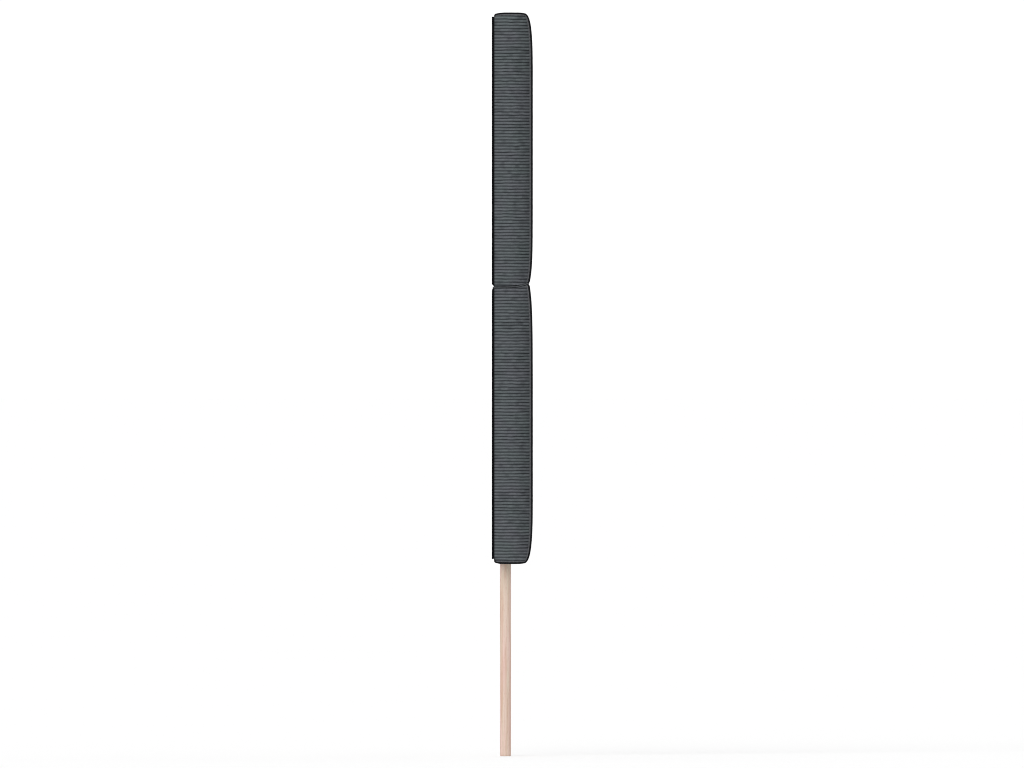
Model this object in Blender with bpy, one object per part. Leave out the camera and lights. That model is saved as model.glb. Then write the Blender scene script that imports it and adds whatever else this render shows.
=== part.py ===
"""A padded blending tool: a foam head in a ribbed cloth cover, on a round wooden handle.

Metres, +Z up. The origin is the centre of the handle's free end, and the handle's axis is Z.
+X points to the front of the pad, and the two stiff boards are on its back.
"""

import math

import bpy

# The handle.
HANDLE_RADIUS = 0.004
HANDLE_TOP = 0.528
HANDLE_CHAMFER = 0.0005
HANDLE_SIDES = 48

# The head, without its boards.
HEAD_BOTTOM = 0.1397
HEAD_TOP = 0.5399
REAR = -0.0081
FRONT = 0.0197
HALF_WIDTH = 0.020

# The front face curves back towards each end of the head, on a superellipse.
END_DEPTH = 0.0087
END_HEIGHT = 0.0545
END_POWER = 3.5
CORNER_RADIUS = 0.002

# Each end rises by the crown between its corners, which lie on the shoulders.
END_CROWN = 0.0007
CROWN_POWER = 4
LOW_SHOULDER = HEAD_BOTTOM + END_CROWN
HIGH_SHOULDER = HEAD_TOP - END_CROWN

# What the head is made of, from the outside in.
PIPING_RADIUS = 0.0007
COVER = 0.0014
GAP = 0.0003
LINING = 0.0008
CORE_INSET = COVER + GAP
BAND_EDGE = HALF_WIDTH - 2 * PIPING_RADIUS - GAP
BAND_CROWN = 0.0005

# The waist, where a cord draws the two lobes together. The cord rises towards the front.
WAIST = 0.3406
WAIST_RISE = 0.0027
WAIST_RISE_REACH = 0.012
FRONT_PINCH = 0.0026
PINCH_REACH_ABOVE = 0.0095
PINCH_REACH_BELOW = 0.0128
SIDE_PINCH = 0.0012
SIDE_PINCH_REACH = 0.005
CORD_SEAT = 0.0010
CORD_SEAT_REACH = 0.0013
LOBE_GAP = 0.0006
PINCH_FROM = 0.006
PINCH_COLUMNS = (GAP / 2, 0.006, 0.009, 0.012)

# The cord.
CORD_RADIUS = 0.0005
KNOT_RADIUS = 0.0012

# The boards.
BOARD_THICKNESS = 0.0015
BOARD_HALF_WIDTH = 0.0190
BOARD_EDGE_BEVEL = 0.0002
UPPER_BOARD_TOP = 0.5370
UPPER_BOARD_INNER = 0.3417
UPPER_BOARD_OUTER = 0.3433
LOWER_BOARD_INNER = 0.3398
LOWER_BOARD_OUTER = 0.3380
LOWER_BOARD_BOTTOM = 0.1434

# How finely the curves are divided, and the height of the side panels' step at a corner.
CORNER_STEPS = 5
END_STEPS = 10
EDGE_STEPS = 8
ROUND_CORD_SIDES = 8
CORD_SPACING = 0.004
KNOT_ROWS = 7
KNOT_SIDES = 12
STEP_RISE = 0.00001


def clear_scene():
    for thing in list(bpy.data.objects):
        bpy.data.objects.remove(thing, do_unlink=True)


def material(name, colour, roughness):
    made = bpy.data.materials.new(name)
    made.use_nodes = True
    shader = made.node_tree.nodes["Principled BSDF"]
    shader.inputs["Base Color"].default_value = (*colour, 1.0)
    shader.inputs["Roughness"].default_value = roughness
    shader.inputs["Metallic"].default_value = 0.0
    made.diffuse_color = (*colour, 1.0)
    return made


def add_object(name, points, faces, finish):
    mesh = bpy.data.meshes.new(name)
    mesh.from_pydata(points, [], faces)
    mesh.update()
    mesh.materials.append(finish)
    made = bpy.data.objects.new(name, mesh)
    bpy.context.scene.collection.objects.link(made)
    return made


def smooth(thing, degrees=35):
    thing.data.shade_smooth()
    thing.data.set_sharp_from_angle(angle=math.radians(degrees))


def loft(name, sections, finish, closed=False):
    """A solid through loops of points. Each loop runs clockwise, seen along the way of the loft."""
    count = len(sections[0])
    points = [point for section in sections for point in section]
    faces = []
    spans = len(sections) if closed else len(sections) - 1
    for row in range(spans):
        low = row * count
        high = (row + 1) % len(sections) * count
        for i in range(count):
            j = (i + 1) % count
            faces.append((low + i, low + j, high + j, high + i))
    if not closed:
        last = (len(sections) - 1) * count
        faces.append(tuple(reversed(range(count))))
        faces.append(tuple(last + i for i in range(count)))
    return add_object(name, points, faces, finish)


def cut(thing, cutter):
    """Takes the cutter away from the solid, and leaves the cutter as a hidden guide."""
    cutter.hide_render = True
    cutter.display_type = "WIRE"
    boolean = thing.modifiers.new("cut_" + cutter.name, "BOOLEAN")
    boolean.operation = "DIFFERENCE"
    boolean.solver = "EXACT"
    boolean.object = cutter


def ramp(value, start, end):
    """0 before start, 1 after end, and a smooth curve between them."""
    share = min(max((value - start) / (end - start), 0.0), 1.0)
    return share * share * (3 - 2 * share)


def waist(point):
    """Draws a point of the straight head in and up to where the waist cord puts it."""
    x, y, z = point
    away = z - WAIST
    rounded = math.hypot(away, CORD_SEAT_REACH) - CORD_SEAT_REACH
    seat = CORD_SEAT * math.exp(-((away / CORD_SEAT_REACH) ** 2))
    from_rear = (x - REAR) / (FRONT - REAR)
    reach = PINCH_REACH_ABOVE if away > 0 else PINCH_REACH_BELOW
    front = FRONT_PINCH * math.exp(-rounded / reach) + seat
    side = SIDE_PINCH * math.exp(-rounded / SIDE_PINCH_REACH) + seat
    rise = WAIST_RISE * max(from_rear, 0.0) ** 3 * math.exp(-((away / WAIST_RISE_REACH) ** 2))
    x -= front * ramp(x, PINCH_FROM, FRONT)
    y -= math.copysign(side * ramp(abs(y), PINCH_FROM, HALF_WIDTH), y)
    return (x, y, z + rise)


def end_curve(inset):
    """(distance from the head's end, depth behind its front) down the curve at one end."""
    power = 2 / END_POWER
    start = math.acos((1 - END_CROWN / END_HEIGHT) ** (1 / power))
    points = []
    for step in range(END_STEPS + 1):
        turn = start + (math.pi / 2 - start) * step / END_STEPS
        along = END_HEIGHT * (1 - max(math.cos(turn), 0.0) ** power)
        depth = END_DEPTH * (1 - math.sin(turn) ** power)
        points.append((inset + along, inset + depth))
    return points


def middle_heights():
    """Heights between the two end curves, close together at the waist."""
    near = [LOBE_GAP, 0.0012, 0.002, 0.0035, 0.006, 0.010, 0.016, 0.025, 0.040, 0.065, 0.100]
    heights = [WAIST - away for away in reversed(near)] + [WAIST]
    return heights + [WAIST + away for away in near]


def front_line(inset):
    """(x, z) up the front of the head, this far inside its outer face."""
    curve = end_curve(inset)
    low = [(FRONT - depth, HEAD_BOTTOM + along) for along, depth in curve]
    middle = [(FRONT - inset, height) for height in middle_heights()]
    high = [(FRONT - depth, HEAD_TOP - along) for along, depth in reversed(curve)]
    return low + middle + high


def end_edge(inset):
    """(x, distance from the head's end) from the rear face, round the corner and along an end."""
    radius = CORNER_RADIUS - inset
    points = []
    for step in range(CORNER_STEPS + 1):
        turn = math.pi / 2 * step / CORNER_STEPS
        x = REAR + CORNER_RADIUS - radius * math.cos(turn)
        points.append((x, END_CROWN + CORNER_RADIUS - radius * math.sin(turn)))
    start = REAR + CORNER_RADIUS
    end = FRONT - end_curve(inset)[0][1]
    for step in range(1, EDGE_STEPS):
        share = step / EDGE_STEPS
        crown = END_CROWN * (1 - (2 * share - 1) ** CROWN_POWER)
        points.append((start + (end - start) * share, inset + END_CROWN - crown))
    return points


def outline(inset):
    """(x, z) from the rear bottom corner, along the bottom, up the front and back along the top."""
    edge = end_edge(inset)
    bottom = [(x, HEAD_BOTTOM + along) for x, along in edge]
    top = [(x, HEAD_TOP - along) for x, along in reversed(edge)]
    return bottom + front_line(inset) + top


def inward(points, i):
    """The unit vector at point i of an outline that points into the head."""
    before = points[max(i - 1, 0)]
    after = points[min(i + 1, len(points) - 1)]
    dx, dz = after[0] - before[0], after[1] - before[1]
    size = math.hypot(dx, dz)
    return (-dz / size, dx / size)


def handle(finish):
    rings = [
        (0.0, HANDLE_RADIUS - HANDLE_CHAMFER),
        (HANDLE_CHAMFER, HANDLE_RADIUS),
        (HANDLE_TOP - HANDLE_CHAMFER, HANDLE_RADIUS),
        (HANDLE_TOP, HANDLE_RADIUS - HANDLE_CHAMFER),
    ]
    smooth(loft("handle_dowel", [circle(z, radius) for z, radius in rings], finish))


def circle(z, radius):
    """A level ring of points round the handle's axis, anticlockwise seen from above."""
    turns = [math.tau * i / HANDLE_SIDES for i in range(HANDLE_SIDES)]
    return [(radius * math.cos(turn), radius * math.sin(turn), z) for turn in turns]


def handle_bore():
    """The space that the foam and the cover leave for the handle."""
    radius = HANDLE_RADIUS + GAP
    rings = [circle(z, radius) for z in (HEAD_BOTTOM / 2, HANDLE_TOP + GAP)]
    return loft("handle_bore", rings, None)


def level_slab(name, rows, y_from, y_to, finish):
    """A solid between two widths, from rows of (rear x, front x, height), bottom to top."""
    sections = []
    for rear, front, z in rows:
        across = [rear] + [x for x in PINCH_COLUMNS if rear < x < front] + [front]
        loop = [(x, y_from, z) for x in across] + [(x, y_to, z) for x in reversed(across)]
        sections.append([waist(point) for point in loop])
    return loft(name, sections, finish)


def foam(finish, bore):
    """Two slabs for each lobe, one before and one behind the handle."""
    behind = REAR + LINING + GAP
    edge = CORNER_RADIUS + 2 * GAP
    for lobe, way, end in (("upper", 1, HIGH_SHOULDER - edge), ("lower", -1, LOW_SHOULDER + edge)):
        line = [(x, z) for x, z in front_line(CORE_INSET) if way * (z - WAIST) > LOBE_GAP / 2]
        heights = [z for z in middle_heights() if way * (z - WAIST) > LOBE_GAP / 2]
        front = [(GAP / 2, x, z) for x, z in line]
        rear = [(behind, -GAP / 2, z) for z in sorted([*heights, end])]
        for side, rows in (("front", front), ("rear", rear)):
            cut(level_slab(f"{lobe}_foam_{side}", rows, -BAND_EDGE, BAND_EDGE, finish), bore)


def front_at(line, z):
    """The front of an outline at one height."""
    for (x, below), (next_x, above) in zip(line, line[1:]):
        if below <= z <= above:
            return x + (next_x - x) * (z - below) / (above - below)
    return line[-1][0]


def side_panel_rows():
    """The panel stops short of the piping, and steps round the piping's end at each rear corner."""
    line = front_line(CORE_INSET)
    step = CORNER_RADIUS + GAP
    low, high = LOW_SHOULDER + step, HIGH_SHOULDER - step
    rows = [(REAR + step, x, z) for x, z in line if z < low]
    rows.append((REAR + step, front_at(line, low), low))
    rows.append((REAR, front_at(line, low), low + STEP_RISE))
    rows += [(REAR, x, z) for x, z in line if low + STEP_RISE < z < high - STEP_RISE]
    rows.append((REAR, front_at(line, high), high - STEP_RISE))
    rows.append((REAR + step, front_at(line, high), high))
    return rows + [(REAR + step, x, z) for x, z in line if z > high]


def side_panels(finish):
    inner = HALF_WIDTH - COVER
    level_slab("right_side_panel", side_panel_rows(), -HALF_WIDTH, -inner, finish)
    level_slab("left_side_panel", side_panel_rows(), inner, HALF_WIDTH, finish)


def front_band(finish, bore):
    """The strip between the two piped edges, a little crowned across its width."""
    across = [-1.0, -0.6, 0.0, 0.6, 1.0]
    middle = outline(0.0)
    sections = []
    for i, (x, z) in enumerate(middle):
        nx, nz = inward(middle, i)
        loop = []
        for share in across:
            inset = BAND_CROWN * share * share
            loop.append((x + nx * inset, share * BAND_EDGE, z + nz * inset))
        for share in (1.0, 0.0, -1.0):
            loop.append((x + nx * COVER, share * BAND_EDGE, z + nz * COVER))
        sections.append([waist(point) for point in loop])
    made = loft("front_band", sections, finish)
    cut(made, bore)
    smooth(made)


def piping(name, y, finish):
    """A round cord along the outline, with its outer side level with the head's."""
    middle = outline(PIPING_RADIUS)
    sections = []
    for i, (x, z) in enumerate(middle):
        nx, nz = inward(middle, i)
        ring = []
        for step in range(ROUND_CORD_SIDES):
            turn = math.tau * step / ROUND_CORD_SIDES
            out, wide = PIPING_RADIUS * math.cos(turn), PIPING_RADIUS * math.sin(turn)
            ring.append(waist((x - nx * out, y + wide, z - nz * out)))
        sections.append(ring)
    smooth(loft(name, sections, finish), 60)


def rear_lining(finish):
    reach = CORNER_RADIUS + GAP
    low, high = LOW_SHOULDER + reach, HIGH_SHOULDER - reach
    heights = [low] + middle_heights() + [high]
    rows = [(REAR, REAR + LINING, z) for z in heights]
    level_slab("rear_lining", rows, -BAND_EDGE, BAND_EDGE, finish)


def board(name, inner, outer, end, finish):
    """A flat board whose end at the waist slopes from its inner face to its outer one."""
    near = REAR - GAP
    far = near - BOARD_THICKNESS
    sections = []
    for y in (-BOARD_HALF_WIDTH, BOARD_HALF_WIDTH):
        profile = [(near, end), (near, inner), (far, outer), (far, end)]
        if end < inner:
            profile.reverse()
        sections.append([(x, y, z) for x, z in profile])
    made = loft(name, sections, finish)
    bevel = made.modifiers.new("edges", "BEVEL")
    bevel.width = BOARD_EDGE_BEVEL
    bevel.segments = 2
    bevel.limit_method = "ANGLE"


def boards(finish):
    board("upper_back_board", UPPER_BOARD_INNER, UPPER_BOARD_OUTER, UPPER_BOARD_TOP, finish)
    board("lower_back_board", LOWER_BOARD_INNER, LOWER_BOARD_OUTER, LOWER_BOARD_BOTTOM, finish)


def cord_route():
    """Points of the waist cord, which lies in the drawn-in seat all round the head, a gap away."""
    corners = [(FRONT, -HALF_WIDTH), (FRONT, HALF_WIDTH), (REAR, HALF_WIDTH), (REAR, -HALF_WIDTH)]
    points = []
    for i, (x, y) in enumerate(corners):
        next_x, next_y = corners[(i + 1) % len(corners)]
        pieces = round(math.hypot(next_x - x, next_y - y) / CORD_SPACING)
        for step in range(pieces):
            share = step / pieces
            side = (x + (next_x - x) * share, y + (next_y - y) * share, WAIST)
            points.append(beside(waist(side), i))
        corner = waist((next_x, next_y, WAIST))
        for step in range(CORNER_STEPS):
            points.append(beside(corner, i + step / CORNER_STEPS))
    return points


def beside(point, quarter_turns):
    """The middle of a cord that lies on the head at this point, in this level direction."""
    turn = math.pi / 2 * quarter_turns
    clear = GAP + CORD_RADIUS
    return (point[0] + clear * math.cos(turn), point[1] + clear * math.sin(turn), point[2])


def waist_cord(finish):
    """The closed loop of cord, joined to the knot that ties it off on the head's left side."""
    route = cord_route()
    sections = []
    for i, (x, y, z) in enumerate(route):
        before, after = route[i - 1], route[(i + 1) % len(route)]
        dx, dy = after[0] - before[0], after[1] - before[1]
        size = math.hypot(dx, dy)
        ring = []
        for step in range(ROUND_CORD_SIDES):
            turn = math.tau * step / ROUND_CORD_SIDES
            out, down = CORD_RADIUS * math.cos(turn), CORD_RADIUS * math.sin(turn)
            ring.append((x + dy / size * out, y - dx / size * out, z - down))
        sections.append(ring)
    cord = loft("waist_tie_cord", sections, finish, closed=True)
    join = cord.modifiers.new("knot", "BOOLEAN")
    join.operation = "UNION"
    join.solver = "EXACT"
    join.object = knot(max(point[1] for point in route) + KNOT_RADIUS - CORD_RADIUS)
    smooth(cord, 60)


def knot(y):
    """The knot's shape, a small ball at this distance to the side."""
    sections = []
    for row in range(KNOT_ROWS):
        tilt = math.pi * (row + 0.5) / KNOT_ROWS
        radius, z = KNOT_RADIUS * math.sin(tilt), WAIST - KNOT_RADIUS * math.cos(tilt)
        ring = []
        for step in range(KNOT_SIDES):
            turn = math.tau * step / KNOT_SIDES
            ring.append((radius * math.cos(turn), y + radius * math.sin(turn), z))
        sections.append(ring)
    made = loft("knot_shape", sections, None)
    made.hide_render = True
    made.display_type = "WIRE"
    return made


def build():
    clear_scene()
    wood = material("pale_wood", (0.72, 0.54, 0.44), 0.6)
    black_board = material("black_board", (0.002, 0.002, 0.002), 0.8)
    sponge = material("foam", (0.55, 0.55, 0.52), 0.95)
    ribbed = material("ribbed_cloth", (0.08, 0.085, 0.09), 0.95)
    edging = material("edging", (0.02, 0.02, 0.022), 0.9)
    thin = material("lining_cloth", (0.01, 0.01, 0.01), 0.9)
    string = material("tie_cord", (0.03, 0.03, 0.032), 0.85)
    bore = handle_bore()
    handle(wood)
    boards(black_board)
    foam(sponge, bore)
    side_panels(ribbed)
    front_band(ribbed, bore)
    rear_lining(thin)
    piping("right_piping", PIPING_RADIUS - HALF_WIDTH, edging)
    piping("left_piping", HALF_WIDTH - PIPING_RADIUS, edging)
    waist_cord(string)


build()
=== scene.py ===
"""The looks of a padded blending tool: ribbed cloth over foam, corded edges, a tied waist, two
black boards on its back and a plain wooden handle. Metres, in the frame of the CAD model."""

import math

import bpy
import numpy as np
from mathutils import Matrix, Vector
from mathutils.bvhtree import BVHTree


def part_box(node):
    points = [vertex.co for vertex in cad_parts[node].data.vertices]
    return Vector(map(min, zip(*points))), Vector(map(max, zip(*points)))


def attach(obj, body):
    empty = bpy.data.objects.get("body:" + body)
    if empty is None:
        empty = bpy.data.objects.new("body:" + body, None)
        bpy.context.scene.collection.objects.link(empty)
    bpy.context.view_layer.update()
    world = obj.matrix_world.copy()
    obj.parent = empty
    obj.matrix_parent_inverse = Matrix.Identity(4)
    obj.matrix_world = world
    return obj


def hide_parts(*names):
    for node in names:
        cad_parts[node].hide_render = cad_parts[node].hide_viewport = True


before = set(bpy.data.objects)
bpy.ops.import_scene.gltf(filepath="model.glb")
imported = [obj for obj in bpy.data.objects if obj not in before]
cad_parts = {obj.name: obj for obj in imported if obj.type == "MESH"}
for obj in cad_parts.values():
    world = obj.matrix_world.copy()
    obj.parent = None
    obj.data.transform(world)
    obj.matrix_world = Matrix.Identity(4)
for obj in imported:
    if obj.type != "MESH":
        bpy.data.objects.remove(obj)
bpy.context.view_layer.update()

# Places that come from the frame.
BAND_LOW, BAND_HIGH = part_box("front_band")
HANDLE_LOW, HANDLE_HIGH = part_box("handle_dowel")
BOARD_LOW, BOARD_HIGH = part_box("upper_back_board")
PANEL_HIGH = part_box("left_side_panel")[1]
# How far the seams stand out past the CAD outline, in front and on top.
PROUD = 0.00015
BOTTOM, TOP = BAND_LOW.z, BAND_HIGH.z + PROUD
FRONT = BAND_HIGH.x + PROUD
REAR = BOARD_HIGH.x
HALF_WIDTH = PANEL_HIGH.y
HANDLE_RADIUS = HANDLE_HIGH.x
FOAMS = ["upper_foam_front", "upper_foam_rear", "lower_foam_front", "lower_foam_rear"]
WAIST = (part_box("upper_foam_rear")[0].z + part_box("lower_foam_rear")[1].z) / 2

# The outline of the head from the side.
END_DEPTH = 0.0087
END_HEIGHT = 0.0545
TOP_POWER = 3.85
BOTTOM_POWER = 3.65
CORNER_RADIUS = 0.0019
END_CROWN = 0.0007
CROWN_POWER = 4
PIPING_RADIUS = 0.0007

# The waist.
WAIST_RISE = 0.0027
FRONT_PINCH = 0.0025
PINCH_REACH_ABOVE = 0.0095
PINCH_REACH_BELOW = 0.0128
SIDE_PINCH = 0.0012
SIDE_PINCH_REACH = 0.005
CORD_SEAT = 0.0010
CORD_SEAT_REACH = 0.0010
PINCH_FROM = 0.006
CORD_RADIUS = 0.0005
CORD_CLEAR = 0.00047
KNOT_X = 0.003
KNOT_LIFT = 0.00045
KNOT_SIZE = 0.00105
KNOT_CORD_SHARE = 0.86
CORD_LAY = 0.0015
TAIL = 0.0035
TAIL_POINTS = 22
PUCKER_PITCH = 0.0042
PUCKER_DEPTH = 0.0002
PUCKER_REACH = 0.007
PUCKER_FREE = 0.002

# The ribs of the cloth.
RIB_PITCH = 0.0022438
RIB_RELIEF = 0.00048
RIB_START = 0.217
RIB_ROUNDNESS = 0.7
ROWS_PER_RIB = 7
# How far the ribs wander, in ribs, and over what lengths across and up.
SLOW_WANDER = (0.05, 0.014, 0.008)
QUICK_WANDER = (0.07, 0.004, 0.0022)
# Share of its height that a crushed stretch of rib loses.
CRUSHED = 0.25
# From the seam, where the plain strip stops and where the ribs have their full height.
PLAIN_STRIP = (0.0007, 0.0014)
# From the crease, where the ribs start to rise and where they have their full height.
CREASE_FADE = (0.0005, 0.0013)
CLOTH_THICKNESS = 0.0005
SEAM_INSET = 0.0009
BAND_INSET = 0.0007
BAND_HEM = 0.006
PIPING_HEM = 0.003
CLOTH_COLUMNS = 25
SEAM_CROWDING = 0.85
# Depths of the dip along a seam, and how far each reaches.
SIDE_DIPS = ((0.0005, 0.0005), (0.0004, 0.003))
BAND_DIPS = ((0.0005, 0.0008),)
# The sides' fold behind the boards: the flat part starts this far in front of the rear, and
# each row is an offset forward, an offset outward and the ribs' share, from the hem outward.
REAR_FOLD = 0.0013
FOLD_ROWS = (
    (-0.0011, -0.0030, 0),
    (-0.0011, -0.0014, 0),
    (-0.0012, -0.0009, 0),
    (-0.0012, -0.0004, 0.2),
    (-0.0007, -0.0001, 0.6),
)
FOLD_ENDS = (0.0010, 0.0035)

# The padding's push on the cloth.
TRIAL_SCALE = 10.0
TRIAL_CELL = 0.003
TRIAL_FRAMES = 24
SIDE_TRIAL_COLUMNS = 11
BAND_TRIAL_COLUMNS = 14
# Rows this near the crease are held, in cells.
CREASE_HELD = 0.6
HANDLE_HELD = 0.008
BAND_HELD = 0.002
# Slack of the cloth over its padding, the padding's pressure, and the softened limit of the push.
SIDE_PADDING = (0.005, 2.5, 0.0020)
BAND_PADDING = (0.0, 0.03, 0.0006)

# The hole for the handle and its overcast rim.
HOLE_RADIUS = 0.0046
HOLE_REACH = 0.010
HOLE_SEED = 0.0013
HOLE_HEIGHT = 0.004
RIM_RADIUS = 0.00475
RIM_THREAD = 0.00052
RIM_LOOPS = 46

# The seams.
SEAM_LINE = 0.0019
STITCH_PITCH = 0.0029
STITCH_LENGTH = 0.0019
STITCH_RADIUS = 0.00014
# How high a stitch's points lie over the cloth, from one end to the other.
STITCH_ARCH = (-0.00012, 0.00008, 0.00014, 0.00016, 0.00014, 0.00008, -0.00012)

# The boards.
BOARD_CORNER = 0.0012
BOARD_EDGE = 0.0002
BOARD_LAYERS = (0, 0.1, 0.35, 0.65, 0.87, 1)

# The lining and the handle.
LINING_THICKNESS = 0.0002
LINING_SHORT = 0.0022
HANDLE_SIDES = 96
# The rounded end of a handle of 4 mm radius: heights and radii.
END_HEIGHTS = (0.0, 0.00004, 0.00015, 0.00032, 0.0006)
END_RADII = (0.0033, 0.00352, 0.00375, 0.00392, 0.004)
DRAWN_RADIUS = 0.004
GRAIN_RELIEF = 0.000018

# Lights and view. A sun has a strength, tilt, turn and spread.
KEY_SUN = (1.5, 56, -30, 50)
FILL_SUN = (0.5, 30, 150, 80)
WORLD_LIGHT = 0.64
WORLD_SEEN = 1.05
FLOOR_REACH = 400.0
VIEW_LENS = 800.0
SENSOR = 36.0
VIEW_WIDTH = 0.7436
VIEW_CENTRE = (0.00472, 0.2704)
VIEW_PLANE = -0.010


def linear(red, green, blue):
    """A colour given as 0 to 255 on a screen, as light."""
    parts = []
    for value in (red, green, blue):
        share = value / 255
        parts.append(share / 12.92 if share <= 0.04045 else ((share + 0.055) / 1.055) ** 2.4)
    return (*parts, 1.0)


def grain(u, v, seed):
    """Smooth noise from -1 to 1 with one bump to a unit cell, for arrays u and v."""
    u, v = np.broadcast_arrays(np.asarray(u, float), np.asarray(v, float))
    iu, iv = np.floor(u).astype(np.int64), np.floor(v).astype(np.int64)
    fu, fv = u - iu, v - iv
    fu, fv = fu * fu * (3 - 2 * fu), fv * fv * (3 - 2 * fv)

    def corner(a, b):
        mixed = (a * 374761393 + b * 668265263 + seed * 1442695041) & 0xFFFFFFFF
        mixed = ((mixed ^ (mixed >> 13)) * 1274126177) & 0xFFFFFFFF
        return ((mixed ^ (mixed >> 16)) & 0xFFFF) / 32767.5 - 1

    low = corner(iu, iv) * (1 - fu) + corner(iu + 1, iv) * fu
    high = corner(iu, iv + 1) * (1 - fu) + corner(iu + 1, iv + 1) * fu
    return low * (1 - fv) + high * fv


def ramp(value, start, end):
    """0 before start, 1 after end, and a smooth curve between them."""
    share = np.clip((value - start) / (end - start), 0.0, 1.0)
    return share * share * (3 - 2 * share)


def crease_height(x):
    """The height of the waist's crease, which rises towards the front."""
    return WAIST + WAIST_RISE * np.clip((x - REAR) / (FRONT - REAR), 0.0, 1.0) ** 3


def draw_in(x, y, z):
    """Where the waist cord puts points of the straight head."""
    away = z - crease_height(x)
    rounded = np.hypot(away, CORD_SEAT_REACH) - CORD_SEAT_REACH
    seat = CORD_SEAT * np.exp(-((away / CORD_SEAT_REACH) ** 2))
    reach = np.where(away > 0, PINCH_REACH_ABOVE, PINCH_REACH_BELOW)
    front = FRONT_PINCH * np.exp(-rounded / reach) + seat
    side = SIDE_PINCH * np.exp(-rounded / SIDE_PINCH_REACH) + seat
    gathered = np.exp(-np.abs(away) / PUCKER_REACH) * ramp(np.abs(away), 0.0, PUCKER_FREE)
    front = front + PUCKER_DEPTH * gathered * np.cos(math.tau * y / PUCKER_PITCH)
    side = side + PUCKER_DEPTH * gathered * np.cos(math.tau * x / PUCKER_PITCH)
    new_x = x - front * ramp(x, PINCH_FROM, FRONT)
    new_y = y - np.sign(y) * side * ramp(np.abs(y), PINCH_FROM, HALF_WIDTH)
    return new_x, new_y, z


def end_curve_depth(along, power):
    """How far behind the front the head's outline is, this far from one end."""
    share = np.clip(1 - along / END_HEIGHT, 0.0, 1.0)
    return END_DEPTH * (1 - (1 - share**power) ** (1 / power))


def crown_span(power):
    """Where the crown of an end starts and stops, from rear to front."""
    return REAR + CORNER_RADIUS, FRONT - end_curve_depth(END_CROWN, power)


def front_at(along, power):
    """The outline's front at these distances from its end."""
    start, stop = crown_span(power)
    opened = np.clip(along / END_CROWN, 0, 1) ** (1 / CROWN_POWER)
    on_crown = (start + stop) / 2 + (stop - start) / 2 * opened
    return np.where(along < END_CROWN, on_crown, FRONT - end_curve_depth(along, power))


def rear_at(along, power):
    """The outline's rear at these distances from its end."""
    start, stop = crown_span(power)
    opened = np.clip(along / END_CROWN, 0, 1) ** (1 / CROWN_POWER)
    on_crown = (start + stop) / 2 - (stop - start) / 2 * opened
    up = np.clip(CORNER_RADIUS - (along - END_CROWN), 0.0, CORNER_RADIUS)
    corner = REAR + CORNER_RADIUS - np.sqrt(CORNER_RADIUS**2 - up**2)
    return np.where(along < END_CROWN, on_crown, corner)


def end_path(inset, tuck, power):
    """Points (x, distance from the end) from the hidden hem round the rear corner to the front."""
    start, stop = crown_span(power)
    radius = CORNER_RADIUS - inset
    turns = np.linspace(0, math.pi / 2, 24)
    hem = np.linspace(tuck, 0, 12)[:-1]
    corner_x = REAR + CORNER_RADIUS - radius * np.cos(turns)
    corner_s = END_CROWN + CORNER_RADIUS - radius * np.sin(turns)
    share = np.linspace(0, 1, 60)[1:-1]
    edge_x = start + (stop - inset - start) * share
    edge_s = inset + END_CROWN * np.abs(2 * share - 1) ** CROWN_POWER
    curve_s = END_CROWN + (END_HEIGHT - END_CROWN) * np.linspace(0, 1, 120) ** 3
    curve_x = FRONT - inset - end_curve_depth(curve_s, power)
    x = np.concatenate([np.full(hem.shape, REAR + inset), corner_x, edge_x, curve_x])
    s = np.concatenate([END_CROWN + CORNER_RADIUS + hem, corner_s, edge_s, curve_s + inset])
    return x, s


def outline(inset, tuck):
    """Points (x, z) down the hidden hem, along the bottom, up the front, along the top and down."""
    low_x, low_s = end_path(inset, tuck, BOTTOM_POWER)
    high_x, high_s = end_path(inset, tuck, TOP_POWER)
    middle = np.linspace(BOTTOM + END_HEIGHT + inset, TOP - END_HEIGHT - inset, 1200)[1:-1]
    z = np.concatenate([BOTTOM + low_s, middle, TOP - high_s[::-1]])
    x = np.concatenate([low_x, np.full(middle.shape, FRONT - inset), high_x[::-1]])
    return x, z


def evenly(x, z, spacing):
    """The same path with evenly spaced points, and how far along it each one is."""
    lengths = np.concatenate([[0], np.cumsum(np.hypot(np.diff(x), np.diff(z)))])
    count = int(round(lengths[-1] / spacing)) + 1
    at = np.linspace(0, lengths[-1], count)
    return np.interp(at, lengths, x), np.interp(at, lengths, z), at


def grid_normals(points):
    """Unit normals of a grid of points, from the cross product of its two directions."""
    along = np.gradient(points, axis=0)
    across = np.gradient(points, axis=1)
    normal = np.cross(across, along)
    size = np.linalg.norm(normal, axis=2, keepdims=True)
    return normal / np.maximum(size, 1e-12)


def add_mesh(name, points, faces, finish, values=None):
    """A smooth mesh object with its material, and values stored at its points."""
    mesh = bpy.data.meshes.new(name)
    mesh.from_pydata(points, [], faces)
    mesh.update()
    for key, numbers in (values or {}).items():
        layer = mesh.attributes.new(key, "FLOAT", "POINT")
        layer.data.foreach_set("value", np.asarray(numbers, np.float32).ravel())
    mesh.materials.append(finish)
    mesh.shade_smooth()
    made = bpy.data.objects.new(name, mesh)
    bpy.context.scene.collection.objects.link(made)
    return made


def grid_faces(rows, columns, wrap=False, loop=False):
    """Quads of a grid. wrap joins the last column to the first, and loop the last row."""
    last_row = rows if loop else rows - 1
    last_column = columns if wrap else columns - 1
    row, column = np.meshgrid(np.arange(last_row), np.arange(last_column), indexing="ij")
    row, column = row.ravel(), column.ravel()
    next_row, next_column = (row + 1) % rows, (column + 1) % columns
    corners = [(row, column), (row, next_column), (next_row, next_column), (next_row, column)]
    return np.stack([a * columns + b for a, b in corners], axis=1)


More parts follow.
